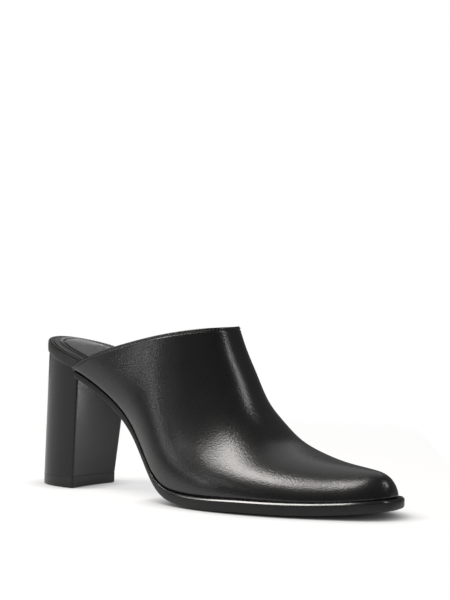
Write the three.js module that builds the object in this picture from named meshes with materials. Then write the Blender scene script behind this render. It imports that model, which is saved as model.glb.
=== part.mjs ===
// Block-heel mule, right shoe, built on the sections of its last.
// Millimetres, +X from heel to toe, +Y to the inner side of the foot, +Z up.
import * as THREE from "three";
import { mergeVertices } from "three/addons/utils/BufferGeometryUtils.js";

// ---------------------------------------------------------------- driving dimensions
const LENGTH = 230; // feather line, from the back of the seat to the toe
const WALL = 2; // upper leather with its lining
const GAP = 0.3; // between pieces that meet
const SEAM = 0.4; // between the sole's curved top and what sits on it
const RIM = 6; // wrapped edge of the insole in the seat
const INSOLE_AT_TOE = 3;
const TOE_CLEARANCE = 1; // the insole's edge is this much further from the wall in the toe
const LIFT = 6; // top lift under the heel
const WELT_HEIGHT = 1.4;
const WELT_START = 98; // station where the welt begins on both sides
const BELLY = 1.6; // the outsole is this much thicker in its middle than at its edge
const BREAST = 38; // station where the outsole meets the heel's front
const COLLAR_FOOT = 36; // station where the topline reaches the insole

// Rounding of the plan at the seat and the toe, and of the toe's height.
const SEAT_END = { length: 30, power: 1.9 };
const TOE_END = { length: 20, power: 2.7 };
const TOE_TOP = { length: 15, power: 3 };

// ---------------------------------------------------------------- section tables
const rows = (names, values) =>
  values.map((row) => Object.fromEntries(row.map((v, i) => [names[i], v])));

// The last's bottom. Half widths to the outer (lateral) and inner (medial) side, height of
// the sole's top on the centre line, its tilt across the foot, and the outsole's edge.
const BOTTOM = rows(
  ["station", "lateral", "medial", "height", "tilt", "edge", "ledge"],
  [
    [0, 27.0, 27.0, 79.3, 0, 3.0, 0.2],
    [20, 27.2, 28.0, 73.6, 0.025, 3.3, 0.2],
    [40, 27.2, 27.8, 67.1, 0.035, 3.8, 0.2],
    [60, 26.5, 25.4, 56.3, 0.045, 4.4, 0.2],
    [80, 28.3, 25.0, 40.1, 0.075, 4.7, 0.3],
    [100, 35.4, 28.0, 17.0, 0.085, 4.6, 0.5],
    [120, 40.2, 32.6, 8.8, 0.06, 4.9, 2.3],
    [140, 42.4, 36.0, 6.8, 0.02, 5.4, 3.0],
    [160, 41.0, 37.4, 6.4, 0, 5.4, 3.0],
    [180, 36.4, 35.4, 6.5, 0, 5.4, 3.0],
    [200, 27.8, 29.3, 7.0, 0, 5.4, 3.0],
    [216, 19.3, 22.0, 8.1, 0, 5.1, 3.0],
    [230, 13.2, 16.2, 9.5, 0, 4.6, 3.0],
  ],
);

// The upper's ribs. Each springs from both feather lines at its station, and leans
// forward to a crown. Powers shape the rib along, up and across the shoe.
const RIBS = rows(
  ["station", "crown", "top", "bulge", "ridge", "along", "up", "across"],
  [
    [36, 125.4, 95.4, 6.5, 1, 1.5, 1.47, 0.5],
    [60, 130.4, 81.4, 6.5, 2, 1.55, 1.28, 0.55],
    [80, 136.8, 68.3, 5.5, 3, 1.6, 1.12, 0.62],
    [100, 144.2, 55.0, 3.5, 3, 1.65, 1.0, 0.68],
    [120, 153.2, 44.4, 2.0, 4, 1.7, 0.92, 0.72],
    [140, 163.0, 35.6, 1.3, 4, 1.8, 0.87, 0.74],
    [160, 175.0, 30.2, 1.0, 4, 1.9, 0.9, 0.78],
    [180, 189.0, 27.2, 0.8, 3, 2.0, 1.03, 0.9],
    [200, 203.5, 25.6, 0.6, 2, 2.0, 1.2, 1.03],
    [216, 217.0, 24.2, 0.4, 1, 2.0, 1.25, 1.06],
    [230, 230.0, 22.4, 0.0, 0, 2.0, 1.25, 1.06],
  ],
);

// The heel block's plan at its two ends. The foot stands a little to the inner side.
const HEEL = {
  foot: { back: -0.4, breast: 31.0, half: 19.8, middle: 1.2, hollow: 1.2, power: 2.35 },
  seat: { back: 3.6, breast: 37.0, half: 24.3, middle: 0.3, hollow: 1.2, power: 2.2 },
};

const PAD = { centre: 40, halfLength: 31, half: 17.5, loft: 2.2, power: 2.3 };

// Facets along and across each piece.
const MESH = {
  upper: [46, 18],
  sole: [54, 6],
  insole: [44, 4],
  welt: 34,
  heel: [12, 6],
  pad: [18, 8],
};

// ---------------------------------------------------------------- shape functions
// A natural cubic spline through one column of a table.
function spline(table, column) {
  const x = table.map((row) => row.station);
  const y = table.map((row) => row[column]);
  const last = x.length - 1;
  const bend = new Array(last + 1).fill(0);
  const carry = new Array(last + 1).fill(0);
  for (let i = 1; i < last; i++) {
    const share = (x[i] - x[i - 1]) / (x[i + 1] - x[i - 1]);
    const pivot = share * bend[i - 1] + 2;
    const ahead = (y[i + 1] - y[i]) / (x[i + 1] - x[i]);
    const behind = (y[i] - y[i - 1]) / (x[i] - x[i - 1]);
    bend[i] = (share - 1) / pivot;
    carry[i] = ((6 * (ahead - behind)) / (x[i + 1] - x[i - 1]) - share * carry[i - 1]) / pivot;
  }
  for (let i = last - 1; i >= 0; i--) bend[i] = bend[i] * bend[i + 1] + carry[i];
  bend[last] = 0;
  return (s) => {
    let i = 0;
    while (i < last - 1 && s > x[i + 1]) i++;
    const h = x[i + 1] - x[i];
    const a = (x[i + 1] - s) / h;
    const b = (s - x[i]) / h;
    const curve = (a ** 3 - a) * bend[i] + (b ** 3 - b) * bend[i + 1];
    return a * y[i] + b * y[i + 1] + (curve * h * h) / 6;
  };
}

const lateral = spline(BOTTOM, "lateral");
const medial = spline(BOTTOM, "medial");
const height = spline(BOTTOM, "height");
const tilt = spline(BOTTOM, "tilt");
const edge = spline(BOTTOM, "edge");
const ledge = spline(BOTTOM, "ledge");
const rib = Object.fromEntries(
  ["crown", "top", "bulge", "ridge", "along", "up", "across"].map((c) => [c, spline(RIBS, c)]),
);

// 1 inside, falling to 0 along a rounded end of the given length and power.
const roundOff = (fromEnd, end) => {
  const k = Math.min(Math.max(1 - fromEnd / end.length, 0), 1);
  return (1 - k ** end.power) ** (1 / end.power);
};

// Height of the sole's top, on which insole, upper and welt sit.
const soleTop = (x, y) => {
  const s = Math.min(Math.max(x, 0), LENGTH);
  return height(s) + tilt(s) * y;
};

// Half width of the feather line. side is -1 for lateral, 1 for medial.
const halfWidth = (s, side) =>
  (side < 0 ? lateral(s) : medial(s)) *
  roundOff(s, SEAT_END) *
  roundOff(LENGTH - s, TOE_END);

// Stations that crowd together at the toe, where the plan turns fastest.
const towardToe = (start, q) => start + (LENGTH - start) * Math.sin((q * Math.PI) / 2);
const bothEnds = (q) => (LENGTH * (1 - Math.cos(q * Math.PI))) / 2;

// A point of the plan, moved outwards by out (inwards when it is negative).
function planPoint(station, q, side, out) {
  const step = 1e-4;
  const before = station(Math.max(q - step, 0));
  const after = station(Math.min(q + step, 1));
  const s = station(q);
  const along = after - before;
  const across = side * (halfWidth(after, side) - halfWidth(before, side));
  const size = Math.hypot(along, across);
  return new THREE.Vector2(
    s - (side * across * out) / size,
    side * halfWidth(s, side) + (side * along * out) / size,
  );
}

// ---------------------------------------------------------------- solids
// A closed solid between two sheets of the same grid, joined round their borders.
function sheetSolid(along, across, upperSheet, lowerSheet) {
  const points = [];
  for (const sheet of [upperSheet, lowerSheet])
    for (let i = 0; i <= along; i++)
      for (let j = 0; j <= across; j++) points.push(sheet(i / along, j / across));
  const row = across + 1;
  const under = (along + 1) * row;
  const triangles = [];
  const quad = (a, b, c, d) => triangles.push([a, b, c], [a, c, d]);
  for (let i = 0; i < along; i++)
    for (let j = 0; j < across; j++) {
      const a = i * row + j;
      quad(a, a + row, a + row + 1, a + 1);
      quad(under + a, under + a + 1, under + a + row + 1, under + a + row);
    }
  for (let i = 0; i < along; i++) {
    const a = i * row;
    const b = a + across;
    quad(a, under + a, under + a + row, a + row);
    quad(b, b + row, under + b + row, under + b);
  }
  for (let j = 0; j < across; j++) {
    const b = along * row + j;
    quad(j, j + 1, under + j + 1, under + j);
    quad(b, under + b, under + b + 1, b + 1);
  }
  const flat = points.flatMap((p) => [p.x, p.y, p.z]);
  const loose = new THREE.BufferGeometry();
  loose.setAttribute("position", new THREE.Float32BufferAttribute(flat, 3));
  loose.setIndex(triangles.flat());
  const merged = mergeVertices(loose, 1e-3);
  const index = merged.index.array;
  const kept = [];
  for (let i = 0; i < index.length; i += 3) {
    const [a, b, c] = index.slice(i, i + 3);
    if (a !== b && b !== c && c !== a) kept.push(a, b, c);
  }
  merged.setIndex(kept);
  merged.computeVertexNormals();
  return merged;
}

const materials = {
  leather: new THREE.MeshStandardMaterial({ color: 0x161616, roughness: 0.35 }),
  lining: new THREE.MeshStandardMaterial({ color: 0x2a2a2c, roughness: 0.6 }),
  stack: new THREE.MeshStandardMaterial({ color: 0x1c1c1c, roughness: 0.5 }),
  rubber: new THREE.MeshStandardMaterial({ color: 0x101010, roughness: 0.7 }),
  gloss: new THREE.MeshStandardMaterial({ color: 0x0c0c0c, roughness: 0.2 }),
};

function piece(name, geometry, material) {
  const mesh = new THREE.Mesh(geometry, material);
  mesh.name = name;
  return mesh;
}

// ---------------------------------------------------------------- upper
const ribStation = (q) => towardToe(COLLAR_FOOT, q);

// The upper's outer face. q runs from the topline to the toe, turn from -1 at the
// lateral feather line over the crown at 0 to 1 at the medial one.
function outerFace(q, turn) {
  const s = ribStation(q);
  const side = turn < 0 ? -1 : 1;
  const angle = (1 - Math.abs(turn)) * (Math.PI / 2);
  const rise = Math.sin(angle);
  const spread = Math.cos(angle);
  const lean = (rib.crown(s) - s) * (1 - spread ** rib.along(s));
  const x = s + lean;
  const foot = soleTop(s, side * halfWidth(s, side));
  const lifted = (rib.top(s) - foot) * roundOff(LENGTH - s, TOE_TOP);
  const swell = rib.bulge(x) * Math.sin(2 * angle) * roundOff(LENGTH - x, TOE_END);
  const wide = halfWidth(x, side) + swell;
  const ridge = rib.ridge(s) * rise ** 2 * roundOff(LENGTH - s, TOE_TOP);
  const y = side * wide * spread ** rib.across(s) + ridge;
  return new THREE.Vector3(x, y, foot + SEAM + lifted * rise ** rib.up(s));
}

// The outward normal, from points close by on both sides.
function outerNormal(q, turn) {
  const step = 2e-3;
  const near = Math.min(q, 1 - 3 * step);
  const clear = Math.min(Math.max(turn, -1 + step), 1 - step);
  const along = outerFace(near + step, clear).sub(outerFace(Math.max(near - step, 0), clear));
  const across = outerFace(near, clear + step).sub(outerFace(near, clear - step));
  return along.cross(across).normalize();
}

// A point inside the wall, depth below the outer face. The lower border stays on the sole.
function wallPoint(q, turn, depth) {
  const point = outerFace(q, turn);
  const border = Math.abs(turn) === 1;
  if (depth > 0) {
    const normal = q === 1 ? new THREE.Vector3(1, 0, 0) : outerNormal(q, turn);
    if (border) normal.setZ(0).normalize();
    point.addScaledVector(normal, -depth);
  }
  if (border) point.z = soleTop(point.x, point.y) + SEAM;
  return point;
}

const upper = piece(
  "upper",
  sheetSolid(
    ...MESH.upper,
    (q, f) => wallPoint(q, 2 * f - 1, 0),
    (q, f) => wallPoint(q, 2 * f - 1, WALL),
  ),
  materials.leather,
);

// ---------------------------------------------------------------- sole pieces
// A sheet across the plan, from the lateral to the medial edge.
function acrossPlan(station, q, f, out) {
  const a = planPoint(station, q, -1, out(station(q)));
  const b = planPoint(station, q, 1, out(station(q)));
  return a.lerp(b, f);
}

const onSole = (p, lift) => new THREE.Vector3(p.x, p.y, soleTop(p.x, p.y) + lift);

const outsoleStation = (q) => towardToe(BREAST, q);
const outsole = piece(
  "outsole",
  sheetSolid(
    ...MESH.sole,
    (q, f) => onSole(acrossPlan(outsoleStation, q, f, ledge), 0),
    (q, f) => {
      const s = outsoleStation(q);
      const fullness = 1 - (2 * f - 1) ** 2;
      const belly = BELLY * fullness * Math.min(1, halfWidth(s, -1) / 20);
      const p = onSole(acrossPlan(outsoleStation, q, f, ledge), -edge(s) - belly);
      p.z = Math.max(p.z, 0);
      return p;
    },
  ),
  materials.rubber,
);

const insoleInset = (s) => -(WALL + GAP + TOE_CLEARANCE * THREE.MathUtils.smoothstep(s, 60, 190));
const insoleThickness = (x) =>
  THREE.MathUtils.lerp(RIM, INSOLE_AT_TOE, THREE.MathUtils.smoothstep(x, 66, 126));
const insole = piece(
  "insole",
  sheetSolid(
    ...MESH.insole,
    (q, f) => {
      const p = acrossPlan(bothEnds, q, f, insoleInset);
      return onSole(p, SEAM + insoleThickness(p.x));
    },
    (q, f) => onSole(acrossPlan(bothEnds, q, f, insoleInset), SEAM),
  ),
  materials.lining,
);

// The welt: a strip on the outsole's ledge, from one side of the waist round the toe
// to the other. f runs round the path, g from its inner to its outer edge.
function weltPoint(f, g, raised) {
  const side = f < 0.5 ? -1 : 1;
  const q = 1 - Math.abs(2 * f - 1);
  const station = (k) => towardToe(WELT_START, k);
  const s = station(q);
  const fade = Math.min(1, (s - WELT_START) / 25);
  const outer = ledge(s);
  const inner = GAP + 0.1;
  const p = planPoint(station, q, side, inner + Math.max(outer - inner, 0.6) * g);
  const crown = WELT_HEIGHT * (0.35 + 0.65 * fade) * (1 - 0.25 * g * g);
  return onSole(p, SEAM + (raised ? crown : 0));
}
const welt = piece(
  "welt",
  sheetSolid(
    MESH.welt * 2,
    2,
    (f, g) => weltPoint(1 - f, g, true),
    (f, g) => weltPoint(1 - f, g, false),
  ),
  materials.gloss,
);

// ---------------------------------------------------------------- heel
// A point of a heel plan, round at the back, with a breast that is hollow across.
function heelPlan(end, q, f) {
  const depth = end.breast - end.back;
  const fromBack = depth * (1 - Math.cos((q * Math.PI) / 2));
  const half = end.half * roundOff(fromBack, { length: depth, power: end.power });
  const across = 2 * f - 1;
  const hollow = end.hollow * (1 - across ** 2) * (fromBack / depth) ** 2;
  return new THREE.Vector2(end.back + fromBack - hollow, end.middle + half * across);
}

const heelBlock = piece(
  "heel_block",
  sheetSolid(
    ...MESH.heel,
    (q, f) => onSole(heelPlan(HEEL.seat, q, f), 0),
    (q, f) => {
      const p = heelPlan(HEEL.foot, q, f);
      return new THREE.Vector3(p.x, p.y, LIFT + GAP);
    },
  ),
  materials.stack,
);

const topLift = piece(
  "top_lift",
  sheetSolid(
    ...MESH.heel,
    (q, f) => {
      const p = heelPlan(HEEL.foot, q, f);
      return new THREE.Vector3(p.x, p.y, LIFT);
    },
    (q, f) => {
      const p = heelPlan(HEEL.foot, q, f);
      return new THREE.Vector3(p.x, p.y, 0);
    },
  ),
  materials.rubber,
);

// ---------------------------------------------------------------- heel pad
function padPoint(q, f, raised) {
  const along = -Math.cos(q * Math.PI);
  const fall = (1 - Math.abs(along) ** PAD.power) ** (1 / PAD.power);
  const across = 2 * f - 1;
  const x = PAD.centre + PAD.halfLength * along;
  const y = PAD.half * fall * across;
  const crowned = PAD.loft * (1 - Math.hypot(along, across * fall) ** 4 * 0.7);
  const base = insoleThickness(x) + SEAM + GAP;
  return onSole(new THREE.Vector2(x, y), base + (raised ? crowned : 0));
}
const heelPad = piece(
  "heel_pad",
  sheetSolid(
    ...MESH.pad,
    (q, f) => padPoint(q, f, true),
    (q, f) => padPoint(q, f, false),
  ),
  materials.lining,
);

// ---------------------------------------------------------------- the shoe
const shoe = new THREE.Group();
shoe.add(upper, insole, heelPad, outsole, welt, heelBlock, topLift);
const box = new THREE.Box3().setFromObject(shoe);
const centre = box.getCenter(new THREE.Vector3());
shoe.position.set(-centre.x, -centre.y, -box.min.z);

export default shoe;
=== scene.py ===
# %% [markdown]
# # A block-heel mule in black calf
# The shoe is a right mule: one hollow leather upper, open behind the foot, on a thin leather
# insole, a welted sole and a stacked block heel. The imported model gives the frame, which fixes
# every size. Here each piece gets its true surface: rolled edges, stitches, beads and bevels.

# %% The frame
import math

import bmesh
import bpy
import numpy as np
from mathutils import Matrix, Vector


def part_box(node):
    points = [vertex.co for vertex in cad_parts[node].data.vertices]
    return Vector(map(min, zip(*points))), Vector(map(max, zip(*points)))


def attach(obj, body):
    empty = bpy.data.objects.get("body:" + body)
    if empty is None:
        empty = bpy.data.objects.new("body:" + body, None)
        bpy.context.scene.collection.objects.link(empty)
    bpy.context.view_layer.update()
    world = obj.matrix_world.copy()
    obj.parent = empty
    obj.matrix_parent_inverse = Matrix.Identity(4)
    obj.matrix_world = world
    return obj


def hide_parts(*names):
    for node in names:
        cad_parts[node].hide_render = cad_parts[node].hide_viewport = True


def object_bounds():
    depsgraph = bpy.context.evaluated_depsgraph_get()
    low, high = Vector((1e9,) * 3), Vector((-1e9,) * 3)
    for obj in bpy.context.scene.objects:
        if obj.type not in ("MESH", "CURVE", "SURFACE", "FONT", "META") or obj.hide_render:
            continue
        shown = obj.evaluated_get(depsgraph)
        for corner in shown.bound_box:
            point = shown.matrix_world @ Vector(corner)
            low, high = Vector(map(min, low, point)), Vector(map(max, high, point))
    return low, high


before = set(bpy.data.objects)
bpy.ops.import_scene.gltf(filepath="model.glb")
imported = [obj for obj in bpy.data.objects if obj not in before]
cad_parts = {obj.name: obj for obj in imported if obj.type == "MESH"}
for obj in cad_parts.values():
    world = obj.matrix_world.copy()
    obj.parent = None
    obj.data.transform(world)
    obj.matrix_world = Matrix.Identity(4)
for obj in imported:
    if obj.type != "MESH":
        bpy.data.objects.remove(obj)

cad_low, cad_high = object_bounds()
print("frame nodes:", sorted(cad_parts))
print("frame box, mm:", [round(1000 * (b - a), 1) for a, b in zip(cad_low, cad_high)])

# %% [markdown]
# ## From last coordinates to the frame
# A shoe is drawn on its last: x runs from the back of the seat to the toe, y to the inner side
# of the foot, z up from the floor, all in millimetres. The frame centres the whole shoe, so one
# shift carries last coordinates to it. The top lift's back and middle are known in both, which
# gives the shift without any fitting.

# %% Shift
MM = 0.001
HEEL_FOOT_BACK, HEEL_MIDDLE = -0.4, 1.2
lift_low, lift_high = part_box("top_lift")
lift_middle = (lift_low.y + lift_high.y) / 2 / MM
SHIFT = np.array([lift_low.x / MM - HEEL_FOOT_BACK, lift_middle - HEEL_MIDDLE, 0.0])
print("last to frame shift, mm:", SHIFT.round(2).tolist())

# %% [markdown]
# ## The camera
# The shoe is seen from a little in front of its outer side, nearly at floor height, with a long
# lens from more than a metre away. The camera turns slightly about its own axis, so the floor
# line leans by about a degree. It is placed from its angles and distance, as a photographer
# would note them.

# %% Camera
AZIMUTH, ELEVATION, ROLL = map(math.radians, (34.72, 2.43, 1.28))
DISTANCE, LENS, SENSOR = 1.243, 135.8, 36.0
AIM = Vector((np.array([120.5, 0.0, 110.2]) + SHIFT) * MM)

right = Vector((math.cos(AZIMUTH), math.sin(AZIMUTH), 0))
forward = Vector((
    -math.sin(AZIMUTH) * math.cos(ELEVATION),
    math.cos(AZIMUTH) * math.cos(ELEVATION),
    -math.sin(ELEVATION),
))
up = right.cross(forward)
camera = bpy.data.objects.new("camera", bpy.data.cameras.new("camera"))
bpy.context.scene.collection.objects.link(camera)
axis_x = right * math.cos(ROLL) + up * math.sin(ROLL)
axis_y = up * math.cos(ROLL) - right * math.sin(ROLL)
camera.matrix_world = (
    Matrix.Translation(AIM - DISTANCE * forward)
    @ Matrix((axis_x, axis_y, -forward)).transposed().to_4x4()
)
camera.data.lens = LENS
camera.data.sensor_width = SENSOR
camera.data.clip_end = 50
bpy.context.scene.camera = camera
print("camera at, m:", [round(v, 3) for v in camera.matrix_world.translation])

# %% [markdown]
# ## The sections of the last
# Two short tables hold the whole form. The first is the bottom: half widths, height, tilt and
# the sole's edge at thirteen stations. The second is the upper's ribs: each springs from the
# feather line and leans forward to its crown. A natural cubic spline through each column gives
# smooth curves from few numbers, the way a draughtsman bends a batten through marks.

# %% Section tables
LENGTH, WALL, SEAM, RIM, LIFT = 230.0, 2.0, 0.4, 6.0, 6.0
COLLAR_FOOT, BREAST, WELT_START, WELT_HEIGHT = 36.0, 37.4, 98.0, 1.15
SEAT_END, TOE_END, TOE_TOP = (30.0, 1.9), (20.0, 2.7), (15.0, 3.0)

BOTTOM_COLUMNS = ("lateral", "medial", "height", "tilt", "edge", "ledge")
BOTTOM = np.array([
    [0, 27.0, 27.0, 79.3, 0, 3.0, 0.2],
    [20, 27.2, 28.0, 73.6, 0.025, 3.3, 0.2],
    [40, 27.2, 27.8, 67.1, 0.035, 3.8, 0.2],
    [60, 26.5, 25.4, 56.3, 0.045, 4.4, 0.2],
    [80, 28.3, 25.0, 40.1, 0.075, 4.7, 0.3],
    [100, 35.4, 28.0, 17.0, 0.085, 4.6, 0.5],
    [120, 40.2, 32.6, 8.8, 0.06, 4.9, 2.3],
    [140, 42.4, 36.0, 6.8, 0.02, 5.4, 3.0],
    [160, 41.0, 37.4, 6.4, 0, 5.4, 3.0],
    [180, 36.4, 35.4, 6.5, 0, 5.4, 3.0],
    [200, 27.8, 29.3, 7.0, 0, 5.4, 3.0],
    [216, 19.3, 22.0, 8.1, 0, 5.1, 3.0],
    [230, 13.2, 16.2, 9.5, 0, 4.6, 3.0],
])
RIB_COLUMNS = ("crown", "top", "bulge", "ridge", "along", "up", "across")
RIBS = np.array([
    [36, 125.4, 95.4, 6.5, 1, 1.5, 1.47, 0.5],
    [60, 130.4, 81.4, 6.5, 2, 1.55, 1.28, 0.55],
    [80, 136.8, 68.3, 5.5, 3, 1.6, 1.12, 0.62],
    [100, 144.2, 55.0, 3.5, 3, 1.65, 1.0, 0.68],
    [120, 153.2, 44.4, 2.0, 4, 1.7, 0.92, 0.72],
    [140, 163.0, 35.6, 1.3, 4, 1.8, 0.87, 0.74],
    [160, 175.0, 30.2, 1.0, 4, 1.9, 0.9, 0.78],
    [180, 189.0, 27.2, 0.8, 3, 2.0, 1.03, 0.9],
    [200, 203.5, 25.6, 0.6, 2, 2.0, 1.2, 1.03],
    [216, 217.0, 24.2, 0.4, 1, 2.0, 1.25, 1.06],
    [230, 230.0, 22.4, 0.0, 0, 2.0, 1.25, 1.06],
])


def batten(x, y):
    """A natural cubic spline through the points."""
    n, h, slope = len(x), np.diff(x), np.diff(y) / np.diff(x)
    system, push = np.eye(n), np.zeros(n)
    for i in range(1, n - 1):
        system[i, i - 1:i + 2] = h[i - 1], 2 * (h[i - 1] + h[i]), h[i]
        push[i] = 6 * (slope[i] - slope[i - 1])
    bend = np.linalg.solve(system, push)

    def at(s):
        s = np.asarray(s, float)
        i = np.clip(np.searchsorted(x, s) - 1, 0, n - 2)
        a, b = (x[i + 1] - s) / h[i], (s - x[i]) / h[i]
        curve = (a**3 - a) * bend[i] + (b**3 - b) * bend[i + 1]
        return a * y[i] + b * y[i + 1] + curve * h[i] ** 2 / 6

    return at


last = {name: batten(BOTTOM[:, 0], BOTTOM[:, k + 1]) for k, name in enumerate(BOTTOM_COLUMNS)}
rib = {name: batten(RIBS[:, 0], RIBS[:, k + 1]) for k, name in enumerate(RIB_COLUMNS)}
print("ball width, mm:", round(float(last["lateral"](145) + last["medial"](145)), 1))

# %% [markdown]
# Every plan edge is a superellipse at its ends: 1 along the straight part, falling to 0 at the
# very end. Offsets of the plan are taken along its own normal, so a ledge or a bead keeps an
# even width round the seat and the toe.

# %% Plan and sole functions
def smooth(v, low, high):
    t = np.clip((np.asarray(v, float) - low) / (high - low), 0, 1)
    return t * t * (3 - 2 * t)


def round_off(from_end, end):
    k = np.clip(1 - from_end / end[0], 0, 1)
    return (1 - k ** end[1]) ** (1 / end[1])


def half_width(s, side):
    wide = np.where(np.asarray(side) < 0, last["lateral"](s), last["medial"](s))
    return wide * round_off(s, SEAT_END) * round_off(LENGTH - s, TOE_END)


def sole_top(x, y):
    s = np.clip(x, 0, LENGTH)
    return last["height"](s) + last["tilt"](s) * y


def toward_toe(start):
    return lambda q: start + (LENGTH - start) * np.sin(np.asarray(q, float) * np.pi / 2)


def both_ends(q):
    return LENGTH * (1 - np.cos(np.asarray(q, float) * np.pi)) / 2


def plan(station, q, side, out):
    """A point of the plan, moved outwards by out."""
    step = 1e-4
    before, after = station(np.maximum(q - step, 0)), station(np.minimum(q + step, 1))
    s = station(q)
    along = after - before
    across = side * (half_width(after, side) - half_width(before, side))
    size = np.hypot(along, across)
    return s - side * across * out / size, side * (half_width(s, side) + along * out / size)


def unit(v):
    return v / np.maximum(np.linalg.norm(v, axis=-1, keepdims=True), 1e-12)


ball_halves = [round(float(half_width(145, side)), 1) for side in (-1, 1)]
print("half widths at the ball, mm:", ball_halves)


# %% [markdown]
# ## From a grid of points to a mesh
# Nearly every piece is a sheet or a tube bent into shape, so one helper makes a mesh from a grid
# of points. It can close the grid round either way, and it can cap a closed tube. Points that
# fall together, as they do at the toe, are merged, and the faces are turned outwards.

# %% Mesh helper
def make_mesh(name, points, faces, material, flat_angle=None):
    mesh = bpy.data.meshes.new(name)
    mesh.from_pydata(((np.asarray(points, float) + SHIFT) * MM).tolist(), [], faces)
    work = bmesh.new()
    work.from_mesh(mesh)
    bmesh.ops.remove_doubles(work, verts=work.verts, dist=2e-6)
    bmesh.ops.dissolve_degenerate(work, edges=work.edges, dist=1e-6)
    bmesh.ops.recalc_face_normals(work, faces=work.faces)
    work.to_mesh(mesh)
    work.free()
    mesh.shade_smooth()
    if flat_angle is not None:
        mesh.set_sharp_from_angle(angle=math.radians(flat_angle))
    mesh.materials.append(material)
    made = bpy.data.objects.new(name, mesh)
    bpy.context.scene.collection.objects.link(made)
    return made


def grid_faces(rows, columns, loop_rows=False, loop_columns=False, first=0):
    """Quads over a grid of rows by columns points, numbered row by row from first."""
    faces = []
    for i in range(rows if loop_rows else rows - 1):
        below, above = first + i * columns, first + (i + 1) % rows * columns
        for j in range(columns if loop_columns else columns - 1):
            k = (j + 1) % columns
            faces.append((below + j, above + j, above + k, below + k))
    return faces


def finish_piece(made, slot, *nodes):
    """Puts a piece on its body and hides the CAD nodes it stands for. The slot is not used."""
    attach(made, "root")
    if nodes:
        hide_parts(*nodes)
    size = [round(1000 * v, 1) for v in made.dimensions]
    print(made.name, len(made.data.polygons), "faces,", size, "mm")
    return made


STEEP = 0.8


# Painted shade: the dye also darkens grooves and walls where shade would fall.
def dye_and_shade_edges(made, material, above):
    """Gives the steep little faces of a piece a dull dye that also paints their shade, where above(x,
    y) lies below them.
    """
    made.data.materials.append(material)
    for face in made.data.polygons:
        x, y, z = np.array(face.center) / MM - SHIFT
        if face.normal.z < STEEP and z > above(x, y):
            face.material_index = 1


# %% [markdown]
# ## Finishes
# All the leathers are black, and differ in gloss and grain. A Principled shader holds the
# constant numbers on its own sockets. Noise drives only the base colour, roughness and bump.
# Calf grain is a net of very fine cells with still finer noise over it: a cell texture for the
# creases, and a broad soft noise so that long highlights waver slightly as they do on leather.
# A painted picture of leather would be the other way, but it goes soft when seen from close by.
# The calf's polish is a coat over a duller skin, and cut edges get a dull dye of their own, dark
# enough that it also paints the shade in the grooves.

# %% Material helpers
def new_material(name, base, roughness, **sockets):
    material = bpy.data.materials.new(name)
    material.use_nodes = True
    shader = material.node_tree.nodes["Principled BSDF"]
    shader.inputs["Base Color"].default_value = (*base, 1)
    shader.inputs["Roughness"].default_value = roughness
    for socket, value in sockets.items():
        shader.inputs[socket.replace("_", " ")].default_value = value
    return material, material.node_tree, shader


def add(tree, kind, **settings):
    node = tree.nodes.new(kind)
    for key, value in settings.items():
        if key in node.inputs:
            node.inputs[key].default_value = value
        else:
            setattr(node, key, value)
    return node


def noise(tree, place, scale):
    node = add(tree, "ShaderNodeTexNoise", Scale=scale, Detail=3, Roughness=0.5)
    tree.links.new(place, node.inputs["Vector"])
    return node.outputs["Fac"]


def spread(tree, value, low, high, from_low=0.3, from_high=0.7):
    """Maps a noise value to a range."""
    node = add(tree, "ShaderNodeMapRange")
    for socket, number in (("From Min", from_low), ("From Max", from_high),
                           ("To Min", low), ("To Max", high)):
        node.inputs[socket].default_value = number
    tree.links.new(value, node.inputs["Value"])
    return node.outputs["Result"]


def bump(tree, height, distance, below=None):
    """A bump of the given distance in metres, laid over the bump below it."""
    node = add(tree, "ShaderNodeBump", Strength=1.0, Distance=distance)
    tree.links.new(height, node.inputs["Height"])
    if below is not None:
        tree.links.new(below, node.inputs["Normal"])
    return node.outputs["Normal"]


def shade(tree, value, dark, light):
    """A colour between two shades, chosen by a noise value."""
    node = add(tree, "ShaderNodeMix", data_type="RGBA")
    node.inputs[6].default_value = (*dark, 1)
    node.inputs[7].default_value = (*light, 1)
    tree.links.new(value, node.inputs["Factor"])
    return node.outputs[2]


FINE_NOISE, BROAD_NOISE, CELL_SOFTNESS = 2600, 110, 0.35


def leather(name, dark, light, gloss, cell, depth, wave=0.0, **sockets):
    """Leather with a grain of cells: their size, depth and the broad wave's height are in mm."""
    material, tree, shader = new_material(name, dark, gloss[0], **sockets)
    place = add(tree, "ShaderNodeTexCoord").outputs["Object"]
    cells = add(tree, "ShaderNodeTexVoronoi", feature="SMOOTH_F1", Scale=1000 / cell)
    cells.inputs["Smoothness"].default_value = CELL_SOFTNESS
    tree.links.new(place, cells.inputs["Vector"])
    fine = noise(tree, place, FINE_NOISE / cell)
    broad = noise(tree, place, BROAD_NOISE)
    normal = bump(tree, broad, wave * MM) if wave else None
    normal = bump(tree, cells.outputs["Distance"], -depth * MM, below=normal)
    normal = bump(tree, fine, 0.5 * depth * MM, below=normal)
    tree.links.new(normal, shader.inputs["Normal"])
    tree.links.new(normal, shader.inputs["Coat Normal"])
    tree.links.new(shade(tree, spread(tree, broad, 0, 1), dark, light), shader.inputs["Base Color"])
    tree.links.new(spread(tree, fine, *gloss), shader.inputs["Roughness"])
    return material


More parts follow.
